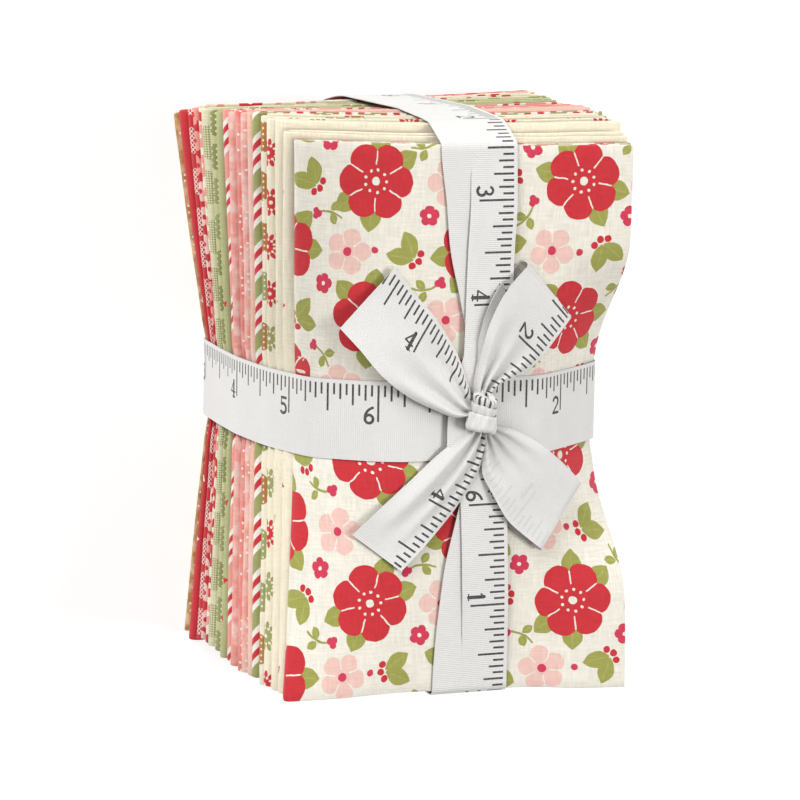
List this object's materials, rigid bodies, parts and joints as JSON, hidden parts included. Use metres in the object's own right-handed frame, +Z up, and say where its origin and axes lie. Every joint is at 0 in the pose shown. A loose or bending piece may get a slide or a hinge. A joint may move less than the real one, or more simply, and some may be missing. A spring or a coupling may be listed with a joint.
{
  "type": "fat quarter bundle",
  "caption": "Stack of folded cotton quilting pieces, each folded back and forth, tied across and along with a tape-measure ribbon in a bow.",
  "frame": {"origin": "under the middle of the bundle's box, on the surface that it rests on", "axes": "+X runs across the folded pieces from their rounded spines to their raw edges, +Y along the spines to the far ends, +Z up through the stack to the bow"},
  "size_m": [0.1218, 0.1852, 0.1172],
  "materials": {
    "tan_dot_cotton": "matte woven cotton",
    "deep_red_cotton": "matte woven cotton",
    "red_fleck_cotton": "matte woven cotton",
    "red_dot_cotton": "matte woven cotton",
    "red_cream_cotton": "matte woven cotton",
    "green_check_cotton": "matte woven cotton",
    "green_dot_oval_cotton": "matte woven cotton",
    "sage_cotton": "matte woven cotton",
    "candy_stripe_cotton": "matte woven cotton",
    "pink_mottle_cotton": "matte woven cotton",
    "coral_dot_cotton": "matte woven cotton",
    "light_pink_cotton": "matte woven cotton",
    "peach_cotton": "matte woven cotton",
    "green_red_stripe_cotton": "matte woven cotton",
    "cream_oval_cotton": "matte woven cotton",
    "cream_snowflake_cotton": "matte woven cotton",
    "cream_plain_cotton": "matte woven cotton",
    "cream_fleck_cotton": "matte woven cotton",
    "floral_cotton": "matte woven cotton",
    "measuring_ribbon": "matte ribbed ribbon printed with ruler marks"
  },
  "bodies": {
    "root": {"fat_quarter_01": "tan_dot_cotton", "fat_quarter_02": "deep_red_cotton", "fat_quarter_03": "red_fleck_cotton", "fat_quarter_04": "red_dot_cotton", "fat_quarter_05": "red_cream_cotton", "fat_quarter_06": "green_check_cotton", "fat_quarter_07": "green_dot_oval_cotton", "fat_quarter_08": "sage_cotton", "fat_quarter_09": "candy_stripe_cotton", "fat_quarter_10": "pink_mottle_cotton", "fat_quarter_11": "coral_dot_cotton", "fat_quarter_12": "light_pink_cotton", "fat_quarter_13": "peach_cotton", "fat_quarter_14": "green_red_stripe_cotton", "fat_quarter_15": "cream_oval_cotton", "fat_quarter_16": "cream_snowflake_cotton", "fat_quarter_17": "cream_plain_cotton", "fat_quarter_18": "cream_fleck_cotton", "fat_quarter_19": "floral_cotton", "ribbon_band_across": "measuring_ribbon", "ribbon_band_along": "measuring_ribbon", "ribbon_knot": "measuring_ribbon", "ribbon_loop_lower": "measuring_ribbon", "ribbon_loop_upper": "measuring_ribbon", "ribbon_tail_lower": "measuring_ribbon", "ribbon_tail_upper": "measuring_ribbon"}
  },
  "joints": []
}
